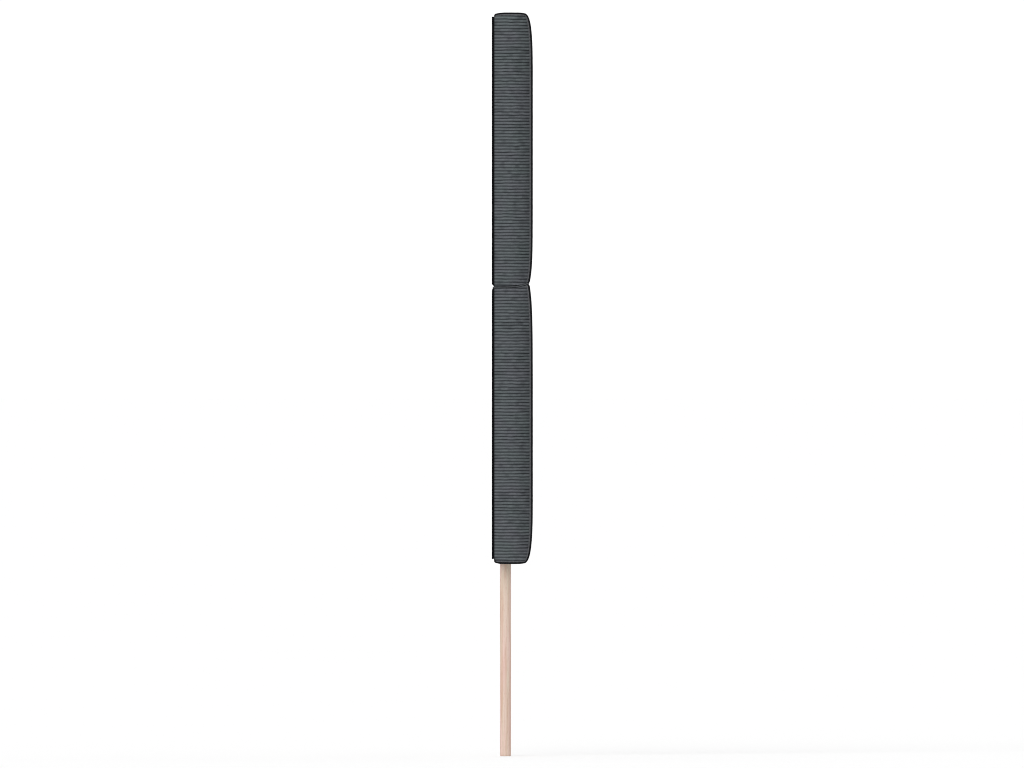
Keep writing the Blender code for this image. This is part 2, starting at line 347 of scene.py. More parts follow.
def stretched(values, rows, columns):
    """A grid of values read off at the given fractional rows and columns."""
    row = np.clip(rows, 0, values.shape[0] - 1.001)
    column = np.clip(columns, 0, values.shape[1] - 1.001)
    i, j = row.astype(int)[:, None], column.astype(int)[None, :]
    a, b = (row - row.astype(int))[:, None], (column - column.astype(int))[None, :]
    low = values[i, j] * (1 - b) + values[i, j + 1] * b
    high = values[i + 1, j] * (1 - b) + values[i + 1, j + 1] * b
    return low * (1 - a) + high * a


def pushed_out(points, held, padding):
    """How far the padding pushes a stretched grid of cloth outward. Held points stay in place."""
    slack, pressure, limit = padding
    mesh = bpy.data.meshes.new("trial")
    faces = grid_faces(*points.shape[:2])
    mesh.from_pydata((points * TRIAL_SCALE).reshape(-1, 3).tolist(), [], faces.tolist())
    trial = bpy.data.objects.new("trial", mesh)
    bpy.context.scene.collection.objects.link(trial)
    group = trial.vertex_groups.new(name="held")
    for index, weight in enumerate(held.ravel()):
        group.add([index], float(weight), "REPLACE")
    cloth_modifier = trial.modifiers.new("cloth", "CLOTH")
    rules = cloth_modifier.settings
    rules.vertex_group_mass = "held"
    rules.quality = 5
    rules.mass = 0.2
    rules.tension_stiffness = 8
    rules.compression_stiffness = 8
    rules.shear_stiffness = 4
    rules.bending_stiffness = 0.4
    rules.shrink_min = -slack
    rules.use_pressure = True
    rules.uniform_pressure_force = pressure
    rules.effector_weights.gravity = 0
    cloth_modifier.point_cache.frame_start = 1
    cloth_modifier.point_cache.frame_end = TRIAL_FRAMES
    for step in range(1, TRIAL_FRAMES + 1):
        bpy.context.scene.frame_set(step)
    settled = trial.evaluated_get(bpy.context.evaluated_depsgraph_get()).to_mesh()
    where = np.zeros(len(settled.vertices) * 3)
    settled.vertices.foreach_get("co", where)
    moved = where.reshape(points.shape) / TRIAL_SCALE - points
    bpy.data.objects.remove(trial)
    bpy.data.meshes.remove(mesh)
    bpy.context.scene.frame_set(1)
    out = (moved * grid_normals(points)).sum(axis=2)
    return limit * np.tanh(out / limit) * (1 - held)


def cloth_piece(name, base, phase, fade, plain, run, finish, node, hole=None):
    """A sewn piece of the ribbed cloth on a grid of points, with its ribs raised from them."""
    wale = np.floor(phase)
    height = np.abs(np.sin(math.pi * phase)) ** RIB_ROUNDNESS
    crushed = 1 - CRUSHED * ramp(grain(wale * 0.61, run * 260 + wale * 9.3, 5), 0.2, 0.8)
    relief = RIB_RELIEF * height * crushed * fade
    points = base + grid_normals(base) * relief[..., None]
    faces = grid_faces(*phase.shape)
    if hole is not None:
        points, faces = opened(points, faces, hole)
    values = {
        "rib": height * crushed * fade,
        "plain": plain,
        "across": phase * RIB_PITCH,
        "along": run,
    }
    made = add_mesh(name, points.reshape(-1, 3), faces, finish, values)
    shell = made.modifiers.new("thickness", "SOLIDIFY")
    shell.thickness = CLOTH_THICKNESS
    shell.offset = -1.0
    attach(made, "root")
    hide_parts(node)
    return made, points, faces


def opened(points, faces, below):
    """The same grid with a round hole round the handle in the part below a height."""
    away = np.hypot(points[..., 0], points[..., 1])
    inside = (away < HOLE_REACH) & (points[..., 2] < below)
    share = np.clip(away / HOLE_REACH, 1e-6, 1)
    wider = HOLE_RADIUS + (HOLE_REACH - HOLE_RADIUS) * share**1.8
    scale = np.where(inside, wider / np.maximum(away, 1e-6), 1.0)
    moved = points.copy()
    moved[..., 0] *= scale
    moved[..., 1] *= scale
    middle = points.reshape(-1, 3)[faces].mean(axis=1)
    gone = (np.hypot(middle[:, 0], middle[:, 1]) < HOLE_SEED) & (middle[:, 2] < below)
    return moved, faces[~gone]


def wavy(across, height, seed):
    """How far the ribs wander from level, in ribs."""
    slow = SLOW_WANDER[0] * grain(across / SLOW_WANDER[1], height / SLOW_WANDER[2], seed)
    quick = QUICK_WANDER[0] * grain(across / QUICK_WANDER[1], height / QUICK_WANDER[2], seed + 1)
    return slow + quick


def rib_fade(plain, waist):
    """The share of their height that the ribs have beside a seam and near the crease."""
    return (1 - 0.9 * plain) * (0.3 + 0.7 * ramp(waist, *CREASE_FADE))


def seam_dip(to_seam, dips):
    """How deep the cloth dips at these distances from its seam."""
    return sum(depth * np.exp(-to_seam / reach) for depth, reach in dips)


def side_grid(z, share):
    """Points on a flat side before it bulges, for heights z and shares of the way to the seam."""
    along = np.minimum(z - BOTTOM, TOP - z)
    power = np.where(z > WAIST, TOP_POWER, BOTTOM_POWER)
    seam_x = front_at(along, power) - SEAM_INSET
    begin = np.minimum(rear_at(along, power) + REAR_FOLD, seam_x - 0.0002)
    x = begin[:, None] + (seam_x - begin)[:, None] * share[None, :]
    to_seam = np.minimum(seam_x[:, None] - x, along[:, None] - SEAM_INSET)
    z = np.repeat(z[:, None], len(share), axis=1)
    return x, np.full(x.shape, HALF_WIDTH), z, np.maximum(to_seam, 0)


def side_panel(name, node, way, finish):
    """One flat side: it wraps round the rear edge, bulges and dips to the corded seam."""
    low, high = BOTTOM + SEAM_INSET, TOP - SEAM_INSET
    trial_z = np.linspace(low, high, int((high - low) / TRIAL_CELL) + 1)
    x, y, z, _ = side_grid(trial_z, np.linspace(0, 1, SIDE_TRIAL_COLUMNS))
    held = np.zeros(x.shape)
    held[[0, -1], :] = 1
    held[:, [0, -1]] = 1
    held[np.abs(z - crease_height(x)) < TRIAL_CELL * CREASE_HELD] = 1
    trial = np.stack(draw_in(x, y * way, z), axis=2)
    trial = trial[:, ::-1] if way > 0 else trial
    held = held[:, ::-1] if way > 0 else held
    bulge = pushed_out(trial, held, SIDE_PADDING)
    bulge = bulge[:, ::-1] if way > 0 else bulge
    z = np.linspace(low, high, int(round((high - low) / RIB_PITCH * ROWS_PER_RIB)) + 1)
    share = np.linspace(0, 1, CLOTH_COLUMNS) ** SEAM_CROWDING
    x, y, zz, to_seam = side_grid(z, share)
    rows = (z - low) / (high - low) * (bulge.shape[0] - 1)
    waist = np.abs(zz - crease_height(x))
    out = stretched(bulge, rows, share * (bulge.shape[1] - 1)) * ramp(waist, 0.0006, 0.0045)
    y = y + out - seam_dip(to_seam, SIDE_DIPS)
    plain = 1 - ramp(to_seam, *PLAIN_STRIP)
    fade = rib_fade(plain, waist)
    hidden = np.array(FOLD_ROWS)
    folded = ramp(np.minimum(z - low, high - z), *FOLD_ENDS)[:, None]
    x = np.concatenate([x[:, :1] + hidden[None, :, 0] * folded, x], axis=1)
    y = np.concatenate([y[:, :1] + hidden[None, :, 1] * (0.15 + 0.85 * folded), y], axis=1) * way
    zz = np.concatenate([zz[:, :1]] * len(hidden) + [zz], axis=1)
    fade = np.concatenate([hidden[None, :, 2] * fade[:, :1], fade], axis=1)
    plain = np.concatenate([plain[:, :1] * (hidden[None, :, 2] > 0.5), plain], axis=1)
    phase = (TOP - zz) / RIB_PITCH - RIB_START + wavy(x, zz, 11 if way > 0 else 23)
    run = x + 0 * zz
    px, py, pz = draw_in(x, y, zz)
    base = np.stack([px, py, pz], axis=2)
    if way > 0:
        base, phase, run = base[:, ::-1], phase[:, ::-1], run[:, ::-1]
        fade, plain = fade[:, ::-1], plain[:, ::-1]
    made, points, faces = cloth_piece(name, base, phase, fade, plain, run, finish, node)
    return BVHTree.FromPolygons(points.reshape(-1, 3).tolist(), faces.tolist())


def band_grid(spacing, share):
    """Points on the band before it bulges, and how far along it and from its seams they are."""
    x, z, at = evenly(*outline(BAND_INSET, BAND_HEM), spacing)
    dx, dz = np.gradient(x), np.gradient(z)
    size = np.hypot(dx, dz)
    outward = np.stack([dz / size, -dx / size], axis=1)
    edge = HALF_WIDTH - SEAM_INSET
    y = np.repeat((share * edge)[None, :], len(x), axis=0)
    x = np.repeat(x[:, None], len(share), axis=1)
    z = np.repeat(z[:, None], len(share), axis=1)
    return x, y, z, at, edge - np.abs(y), outward


def front_band(finish):
    """The strip over the bottom, front and top, between the two corded seams."""
    x, y, z, _, _, _ = band_grid(TRIAL_CELL, np.linspace(-1, 1, BAND_TRIAL_COLUMNS))
    held = np.zeros(x.shape)
    held[[0, 1, -2, -1], :] = 1
    held[:, [0, -1]] = 1
    held[np.abs(z - crease_height(x)) < TRIAL_CELL * CREASE_HELD] = 1
    held[(np.hypot(x, y) < HANDLE_HELD) & (z < WAIST)] = 1
    held[x < REAR + BAND_HELD] = 1
    trial = np.stack(draw_in(x, y, z), axis=2)[:, ::-1]
    bulge = pushed_out(trial, held[:, ::-1], BAND_PADDING)[:, ::-1]
    share = np.linspace(-1, 1, CLOTH_COLUMNS)
    share = np.sign(share) * np.abs(share) ** SEAM_CROWDING
    x, y, z, at, to_seam, outward = band_grid(RIB_PITCH / ROWS_PER_RIB, share)
    rows = at / at[-1] * (bulge.shape[0] - 1)
    waist = np.where(at[:, None] > 0.05, np.abs(z - crease_height(x)), 1.0)
    out = stretched(bulge, rows, (share + 1) / 2 * (bulge.shape[1] - 1))
    out = out * ramp(waist, 0.0006, 0.003) - seam_dip(to_seam, BAND_DIPS)
    x = x + outward[:, :1] * out
    z = z + outward[:, 1:] * out
    px, py, pz = draw_in(x, y, z)
    base = np.stack([px, py, pz], axis=2)[:, ::-1]
    phase = at[:, None] / RIB_PITCH + wavy(y, at[:, None] + 0 * y, 37)
    plain = 1 - ramp(to_seam, *PLAIN_STRIP) + 0 * x
    fade = rib_fade(plain, waist) * ramp(x, REAR, REAR + 0.0015)
    made, points, faces = cloth_piece(
        "front_cover_band", base, phase[:, ::-1], fade[:, ::-1], plain[:, ::-1], y[:, ::-1],
        finish, "front_band", hole=BOTTOM + HOLE_HEIGHT,
    )
    return BVHTree.FromPolygons(points.reshape(-1, 3).tolist(), faces.tolist())


def rim_stitching(finish):
    """The overcast thread round the handle's hole."""
    around = np.linspace(0, math.tau, RIM_LOOPS * 6, endpoint=False)[:, None]
    turns = np.linspace(0, math.tau, 12, endpoint=False)[None, :]
    loops = np.abs(np.sin(RIM_LOOPS / 2 * (around + 0.05 * np.cos(turns))))
    thick = RIM_THREAD * (0.72 + 0.28 * loops**0.8)
    out = RIM_RADIUS + thick * np.cos(turns)
    ring = np.stack([
        out * np.cos(around),
        out * np.sin(around),
        BOTTOM + BAND_INSET - 0.0002 + thick * np.sin(turns),
    ], axis=2)
    faces = grid_faces(*ring.shape[:2], wrap=True, loop=True)[:, ::-1]
    values = {"ply": loops + 0 * turns}
    made = add_mesh("handle_hole_stitching", ring.reshape(-1, 3), faces, finish, values)
    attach(made, "root")


def tube_frames(points):
    """Two unit normals along a path of points, without twist jumps."""
    tangent = np.gradient(points, axis=0)
    tangent /= np.linalg.norm(tangent, axis=1, keepdims=True)
    first = np.zeros_like(points)
    guide = np.array([0.0, 1.0, 0.0]) if abs(tangent[0][1]) < 0.9 else np.array([0.0, 0.0, 1.0])
    for i, t in enumerate(tangent):
        guide = guide - t * np.dot(guide, t)
        guide = guide / np.linalg.norm(guide)
        first[i] = guide
    return first, np.cross(tangent, first)


def tube(points, radius, sides, first_index=0):
    """Points and faces of a closed tube along a path. radius is one number or a grid of them."""
    first, second = tube_frames(points)
    turns = np.linspace(0, math.tau, sides, endpoint=False)[None, :]
    out = np.broadcast_to(radius, (len(points), sides))
    ring = points[:, None, :] + out[..., None] * (
        np.cos(turns)[..., None] * first[:, None, :] + np.sin(turns)[..., None] * second[:, None, :]
    )
    rows = len(points)
    faces = (grid_faces(rows, sides, wrap=True) + first_index).tolist()
    faces.append([first_index + i for i in range(sides)][::-1])
    faces.append([first_index + (rows - 1) * sides + i for i in range(sides)])
    return ring.reshape(-1, 3), faces


def lengths_along(points):
    """How far along a path each of its points is."""
    steps = np.linalg.norm(np.diff(points, axis=0), axis=1)
    return np.concatenate([[0], np.cumsum(steps)])


def twisted(points, radius, lay, plies, sides, first_index=0):
    """Points, faces and ply heights of a cord of twisted plies along a path."""
    at = lengths_along(points)
    turns = np.linspace(0, math.tau, sides, endpoint=False)[None, :]
    ply = np.abs(np.cos(plies / 2 * (turns - math.tau * at[:, None] / lay)))
    corners, faces = tube(points, radius * (0.74 + 0.26 * ply**0.8), sides, first_index)
    return corners, faces, ply.ravel()


def piping(name, node, way, finish):
    """A cord in a strip of cloth cut on the bias, with small puckers where it turns."""
    x, z, at = evenly(*outline(PIPING_RADIUS, PIPING_HEM), 0.00028)
    sunk = 1 - ramp(np.minimum(at, at[-1] - at), 0.0005, PIPING_HEM + 0.001)
    y = way * (HALF_WIDTH - PIPING_RADIUS - 0.0015 * sunk)
    px, py, pz = draw_in(x + 0.0008 * sunk, y, z)
    points = np.stack([px, py, pz], axis=1)
    at = lengths_along(points)[:, None]
    turns = np.linspace(0, math.tau, 14, endpoint=False)[None, :]
    pucker = grain(at / 0.0016 + 0.6 * np.cos(turns), np.sin(turns) * 1.3 + 5, 51)
    corners, faces = tube(points, PIPING_RADIUS * (1 + 0.045 * pucker), 14)
    values = {"along": at + 0 * turns, "around": turns * PIPING_RADIUS + 0 * at}
    made = add_mesh(name, corners, faces, finish, values)
    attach(made, "root")
    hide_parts(node)


def laid_on(tree, origins, directions, lift):
    """Where rays from outside meet the cloth, lifted back out a little."""
    points = []
    for origin, direction, up in zip(origins, directions, lift):
        hit = tree.ray_cast(Vector(origin), Vector(direction), 0.02)[0]
        if hit is None:
            return None
        points.append([hit[i] - direction[i] * up for i in range(3)])
    return np.array(points)


def seam_thread(name, way, side_tree, band_tree, finish):
    """Running stitches on both sides of one corded edge."""
    x, z, at = evenly(*outline(0.0, 0.0), 0.0001)
    dx, dz = np.gradient(x), np.gradient(z)
    size = np.hypot(dx, dz)
    inward = np.stack([-dz / size, dx / size], axis=1)
    corners, faces, ply = [], [], []
    count = len(STITCH_ARCH)
    for start in np.arange(0.0012, at[-1] - 0.003, STITCH_PITCH):
        spots = start + np.linspace(0, STITCH_LENGTH, count)
        sx, sz = np.interp(spots, at, x), np.interp(spots, at, z)
        nx, nz = np.interp(spots, at, inward[:, 0]), np.interp(spots, at, inward[:, 1])
        for tree in (side_tree, band_tree):
            if tree is side_tree:
                edge = np.full(count, way * HALF_WIDTH)
                px, py, pz = draw_in(sx + nx * SEAM_LINE, edge, sz + nz * SEAM_LINE)
                origins = np.stack([px, py + way * 0.005, pz], axis=1)
                directions = [(0.0, float(-way), 0.0)] * count
            else:
                edge = np.full(count, way * (HALF_WIDTH - SEAM_LINE))
                px, py, pz = draw_in(sx, edge, sz)
                origins = np.stack([px - nx * 0.005, py, pz - nz * 0.005], axis=1)
                directions = [(float(a), 0.0, float(b)) for a, b in zip(nx, nz)]
            path = laid_on(tree, origins.tolist(), directions, STITCH_ARCH)
            if path is None:
                continue
            made, more = tube(path, STITCH_RADIUS, 6, len(corners))
            corners += made.tolist()
            faces += more
            ply += [1.0, 0.6, 0.2] * (len(made) // 3)
    made = add_mesh(name, corners, faces, finish, {"ply": ply})
    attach(made, "root")


def waist_route():
    """The tie's path in its seat, from the knot on the far side all the way round."""
    corners = [(FRONT, -1), (FRONT, 1), (REAR, 1), (REAR, -1)]
    points = []
    for i, (x, side) in enumerate(corners):
        next_x, next_side = corners[(i + 1) % 4]
        turn = math.pi / 2 * i
        for share in np.linspace(0, 1, 60, endpoint=False):
            at_x = x + (next_x - x) * share
            at_y = (side + (next_side - side) * share) * HALF_WIDTH
            px, py, pz = draw_in(np.array(at_x), np.array(at_y), crease_height(at_x))
            points.append((px + CORD_CLEAR * math.cos(turn), py + CORD_CLEAR * math.sin(turn), pz))
        corner_y = np.array(next_side * HALF_WIDTH)
        px, py, pz = draw_in(np.array(next_x), corner_y, crease_height(next_x))
        for step in range(10):
            bend = turn + math.pi / 2 * step / 10
            points.append((px + CORD_CLEAR * math.cos(bend), py + CORD_CLEAR * math.sin(bend), pz))
    points = np.array(points, float)
    start = np.argmin(np.hypot(points[:, 0] - KNOT_X, points[:, 1] - HALF_WIDTH))
    points = np.roll(points, -start, axis=0)
    points = np.vstack([points, points[:1]])
    at = lengths_along(points)
    even = np.linspace(0.0008, at[-1] - 0.0008, int(at[-1] / 0.00018))
    return np.stack([np.interp(even, at, points[:, i]) for i in range(3)], axis=1), points[0]


def knot_path(centre, size):
    """A trefoil, flattened against the cloth."""
    turn = np.linspace(0, math.tau, 90, endpoint=False)
    x = np.sin(turn) + 2 * np.sin(2 * turn)
    z = np.cos(turn) - 2 * np.cos(2 * turn)
    y = -1.6 * np.sin(3 * turn)
    return centre + size / 3 * np.stack([x, y * 0.9, z], axis=1)


def waist_tie(side_tree, finish):
    """The waist cord with its knot and two short cut ends."""
    route, knot = waist_route()
    pieces = [route]
    centre = knot + np.array([0, KNOT_LIFT, 0])
    pieces.append(knot_path(centre, KNOT_SIZE))
    for lean, reach in ((-1, 1.0), (1, 0.8)):
        share = np.linspace(0, 1, TAIL_POINTS)
        x = centre[0] + lean * (0.0005 + 0.0012 * share)
        z = centre[2] - 0.0003 - TAIL * reach * share
        origins = np.stack([x, np.full(x.shape, HALF_WIDTH + 0.006), z], axis=1).tolist()
        inward, lift = (0.0, -1.0, 0.0), CORD_RADIUS * 0.85
        path = laid_on(side_tree, origins, [inward] * TAIL_POINTS, [lift] * TAIL_POINTS)
        smooth = np.convolve(np.pad(path[:, 1], 3, mode="edge"), np.ones(7) / 7, mode="valid")
        path[:, 1] = np.maximum(smooth, path[:, 1]) + 0.0004 * (1 - share) ** 2
        pieces.append(path)
    corners, faces, ply = [], [], []
    for path in pieces:
        radius = CORD_RADIUS * (1 if path is route else KNOT_CORD_SHARE)
        made, more, height = twisted(path, radius, CORD_LAY, 2, 10, len(corners))
        corners += made.tolist()
        faces += more
        ply += height.tolist()
    made = add_mesh("waist_tie", corners, faces, finish, {"ply": ply})
    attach(made, "root")
    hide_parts("waist_tie_cord")


def foam_slab(node, finish):
    """A cut foam slab with softened, open-celled faces."""
    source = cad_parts[node]
    made = bpy.data.objects.new(node + "_pad", source.data.copy())
    bpy.context.scene.collection.objects.link(made)
    made.data.materials.clear()
    made.data.materials.append(finish)
    remesh = made.modifiers.new("cells", "REMESH")
    remesh.mode = "VOXEL"
    remesh.voxel_size = 0.0012
    soften = made.modifiers.new("soften", "SMOOTH")
    soften.iterations = 3
    pits = bpy.data.textures.new(node + "_pits", "CLOUDS")
    pits.noise_scale = 0.004
    pitted = made.modifiers.new("pits", "DISPLACE")
    pitted.texture = pits
    pitted.texture_coords = "GLOBAL"
    pitted.strength = 0.0006
    pitted.mid_level = 1.0
    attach(made, "root")
    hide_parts(node)


def board(name, node, knee, finish):
    """A flat board with rounded corners. knee has shares of its depth, from its inner face, and
    the height of its end at the waist at each."""
    low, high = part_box(node)
    inner_face, outer_face = high.x, low.x
    upper = low.z > WAIST - 0.002
    far_end = high.z if upper else low.z
    toward = 1 if upper else -1
    layers, corners = [], []
    for depth in BOARD_LAYERS:
        ease = BOARD_EDGE if depth in (0, 1) else 0
        near_end = float(np.interp(depth, knee[0], knee[1]))
        layers.append((inner_face + (outer_face - inner_face) * depth, near_end, ease))
    for x, near_end, ease in layers:
        width = high.y - ease
        ends = sorted((near_end + toward * ease, far_end - toward * ease))
        for cy, cz, begin in ((1, 1, 0), (-1, 1, 90), (-1, 0, 180), (1, 0, 270)):
            end = ends[cz]
            turn_z = end - BOARD_CORNER if cz else end + BOARD_CORNER
            for angle in np.radians(np.linspace(begin, begin + 90, 9)):
                y = cy * (width - BOARD_CORNER) + BOARD_CORNER * math.cos(angle)
                corners.append((x, y, turn_z + BOARD_CORNER * math.sin(angle)))
    around = len(corners) // len(layers)
    faces = grid_faces(len(layers), around, wrap=True)[:, ::-1].tolist()
    faces.append(list(range(around)))
    faces.append([(len(layers) - 1) * around + i for i in range(around)][::-1])
    made = add_mesh(name, corners, faces, finish)
    made.data.set_sharp_from_angle(angle=math.radians(40))
    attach(made, "root")
    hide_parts(node)


def rear_lining(finish):
    """The thin cloth between the head and its boards, seen in the gap between them."""
    z = np.concatenate([
        np.linspace(BOTTOM + 0.003, WAIST - 0.008, 60, endpoint=False),
        np.linspace(WAIST - 0.008, WAIST + 0.008, 80, endpoint=False),
        np.linspace(WAIST + 0.008, TOP - 0.003, 60),
    ])
    y = np.linspace(HALF_WIDTH - LINING_SHORT, LINING_SHORT - HALF_WIDTH, 40)
    z, y = np.meshgrid(z, y, indexing="ij")
    px, py, pz = draw_in(np.full(z.shape, REAR), y, z)
    points = np.stack([px, py, pz], axis=2)
    faces = grid_faces(*z.shape)
    made = add_mesh("rear_lining_cloth", points.reshape(-1, 3), faces, finish)
    shell = made.modifiers.new("thickness", "SOLIDIFY")
    shell.thickness = LINING_THICKNESS
    shell.offset = -1.0
    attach(made, "root")
    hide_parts("rear_lining")


def handle(finish):
    """The round handle, softly broken at its ends, with the grain standing a hair proud."""
    sides = HANDLE_SIDES
    span = HANDLE_HIGH.z - HANDLE_LOW.z
    body = np.linspace(0.002, span - 0.002, 180)
    z = np.concatenate([END_HEIGHTS, body, span - np.array(END_HEIGHTS)[::-1]])
    r = np.concatenate([END_RADII, np.full(body.shape, DRAWN_RADIUS), END_RADII[::-1]])
    turns = np.linspace(0, math.tau, sides, endpoint=False)
    zz, tt = np.meshgrid(z, turns, indexing="ij")
    lines = grain(tt / math.tau * 40, zz / 0.05, 71)
    lines = lines + 0.5 * grain(tt / math.tau * 90, zz / 0.02, 72)
    lines = lines * np.minimum(1, np.minimum(zz, span - zz) / 0.002)
    smooth = np.repeat(r[:, None], sides, axis=1) * HANDLE_RADIUS / DRAWN_RADIUS
    rr = smooth + GRAIN_RELIEF * lines
    points = np.stack([rr * np.cos(tt), rr * np.sin(tt), HANDLE_LOW.z + zz], axis=2)
    rows = points.shape[0]
    verts = points.reshape(-1, 3).tolist() + [[0, 0, HANDLE_LOW.z], [0, 0, HANDLE_HIGH.z]]
    faces = grid_faces(rows, sides, wrap=True).tolist()
    low, high = rows * sides, rows * sides + 1
    for i in range(sides):
        j = (i + 1) % sides
        faces.append([low, j, i])
        faces.append([high, (rows - 1) * sides + i, (rows - 1) * sides + j])
    made = add_mesh("wooden_handle", verts, faces, finish)
    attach(made, "root")
    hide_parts("handle_dowel")


class Nodes:
    """A few short words for building a material's nodes."""

    def __init__(self, name, roughness, specular):
        self.material = bpy.data.materials.new(name)
        self.material.use_nodes = True
        self.tree = self.material.node_tree
        self.shader = self.tree.nodes["Principled BSDF"]
        self.shader.inputs["Roughness"].default_value = roughness
        self.shader.inputs["Specular IOR Level"].default_value = specular
        place = self.tree.nodes.new("ShaderNodeTexCoord")
        self.place = place.outputs["Object"]

    def put(self, socket, value):
        """Link a socket to another one, or set its value."""
        if isinstance(value, bpy.types.NodeSocket):
            self.tree.links.new(value, socket)
        else:
            socket.default_value = value

    def stretch(self, scale, offset=(0, 0, 0)):
        node = self.tree.nodes.new("ShaderNodeMapping")
        self.put(node.inputs["Vector"], self.place)
        node.inputs["Scale"].default_value = scale
        node.inputs["Location"].default_value = offset
        return node.outputs["Vector"]

    def noise(self, scale, detail=2.0, offset=(0, 0, 0)):
        node = self.tree.nodes.new("ShaderNodeTexNoise")
        self.put(node.inputs["Vector"], self.stretch(scale, offset))
        node.inputs["Scale"].default_value = 1.0
        node.inputs["Detail"].default_value = detail
        return node.outputs["Fac"]

    def axis(self, name):
        node = self.tree.nodes.new("ShaderNodeSeparateXYZ")
        self.put(node.inputs["Vector"], self.place)
        return node.outputs[name]

    def noise_on(self, first, first_scale, second, second_scale, detail):
        """Noise laid out along two of the mesh's own measures."""
        joined = self.tree.nodes.new("ShaderNodeCombineXYZ")
        self.put(joined.inputs["X"], self.math("MULTIPLY", self.attribute(first), first_scale))
        self.put(joined.inputs["Y"], self.math("MULTIPLY", self.attribute(second), second_scale))
        node = self.tree.nodes.new("ShaderNodeTexNoise")
        self.put(node.inputs["Vector"], joined.outputs["Vector"])
        node.inputs["Scale"].default_value = 1.0
        node.inputs["Detail"].default_value = detail
        return node.outputs["Fac"]

    def attribute(self, name):
        node = self.tree.nodes.new("ShaderNodeAttribute")
        node.attribute_name = name
        return node.outputs["Fac"]

    def math(self, operation, a, b=0.0):
        node = self.tree.nodes.new("ShaderNodeMath")
        node.operation = operation
        self.put(node.inputs[0], a)
        self.put(node.inputs[1], b)
        return node.outputs[0]

    def span(self, value, low, high, to_low=0.0, to_high=1.0):
        node = self.tree.nodes.new("ShaderNodeMapRange")
        self.put(node.inputs["Value"], value)
        node.inputs["From Min"].default_value = low
        node.inputs["From Max"].default_value = high
        node.inputs["To Min"].default_value = to_low
        node.inputs["To Max"].default_value = to_high
        return node.outputs["Result"]

    def mix(self, share, a, b, blend="MIX"):
        node = self.tree.nodes.new("ShaderNodeMix")
        node.data_type = "RGBA"
        node.blend_type = blend
        self.put(node.inputs["Factor"], share)
        self.put(node.inputs["A"], a)
        self.put(node.inputs["B"], b)
        return node.outputs["Result"]

    def colour(self, value):
        self.put(self.shader.inputs["Base Color"], value)

    def bump(self, height, distance, strength=1.0):
        node = self.tree.nodes.new("ShaderNodeBump")
        self.put(node.inputs["Height"], height)
        node.inputs["Distance"].default_value = distance
        node.inputs["Strength"].default_value = strength
        self.tree.links.new(node.outputs["Normal"], self.shader.inputs["Normal"])


def ribbed_cloth():
    """Corduroy: pale wale tops, valleys darkened with painted shade, a short tufted pile, and plain
    cloth at the seams.
    """
    made = Nodes("ribbed_cloth", 0.95, 0.06)
    made.shader.inputs["Sheen Weight"].default_value = 0.05
    made.shader.inputs["Sheen Roughness"].default_value = 0.5
    rib, plain = made.attribute("rib"), made.attribute("plain")
    tufts = made.noise_on("along", 2600, "across", 1000, 2.0)
    fibres = made.noise_on("along", 9000, "across", 2600, 2.0)
    patches = made.noise_on("along", 210, "across", 460, 2.0)
    # Painted shade: the valley colour is far darker than the wale tops, so the recesses between the
    # ribs look more shaded than the raised ribs alone make them.
    shaded_valley, top = linear(26, 28, 31), linear(105, 109, 111)
    base = made.mix(made.span(rib, 0.08, 0.95), shaded_valley, top)
    tint = made.mix(made.noise((50, 50, 70), 1.0), linear(252, 240, 252), linear(238, 254, 246))
    base = made.mix(1.0, base, tint, "MULTIPLY")
    worn = made.span(patches, 0.3, 0.7, 0.0, 0.5)
    base = made.mix(worn, base, made.mix(1.0, base, (0.6, 0.6, 0.62, 1), "MULTIPLY"))
    shade = made.span(tufts, 0.35, 0.7, 0.0, 0.45)
    base = made.mix(shade, base, made.mix(1.0, base, (0.5, 0.51, 0.53, 1), "MULTIPLY"))
    # Painted shade: the cloth darkens to two thirds over the 15 mm before the front, with a patchy
    # start.
    front = made.axis("X")
    front_shade_x = made.math("ADD", front, made.span(patches, 0.3, 0.7, -0.003, 0.003))
    painted_front_shade = made.mix(1.0, base, (0.66, 0.66, 0.66, 1), "MULTIPLY")
    base = made.mix(made.span(front_shade_x, FRONT - 0.016, FRONT - 0.001), base, painted_front_shade)
    # The plain strip beside the seams is unribbed cloth. Its colour, paler than the wale tops, is
    # partly painted light that offsets the shade in the seam dip.
    base = made.mix(made.math("MULTIPLY", plain, 0.9), base, linear(118, 119, 122))
    lint = made.noise((1700, 1700, 1700), 1.0, (0.7, 0.1, 0.4))
    base = made.mix(made.span(lint, 0.77, 0.82, 0.0, 0.3), base, linear(150, 152, 154))
    made.colour(base)
    height = made.math("ADD", made.math("MULTIPLY", tufts, 1.4), fibres)
    made.bump(height, 0.00012, 0.8)
    return made.material


def bias_strip():
    """The piping's cover: dark twill on the bias."""
    made = Nodes("edge_piping", 0.88, 0.06)
    turned = made.math("ADD", made.attribute("along"), made.attribute("around"))
    twill = made.math("SINE", made.math("MULTIPLY", turned, math.tau / 0.00042))
    fibre = made.noise((4200, 4200, 4200), 2.0)
    base = made.mix(made.span(twill, -0.8, 0.9), linear(15, 15, 17), linear(33, 33, 35))
    made.colour(made.mix(made.span(fibre, 0.4, 0.65, 0.0, 0.4), base, linear(14, 14, 16)))
    made.bump(made.math("ADD", twill, fibre), 0.00004, 0.5)
    return made.material


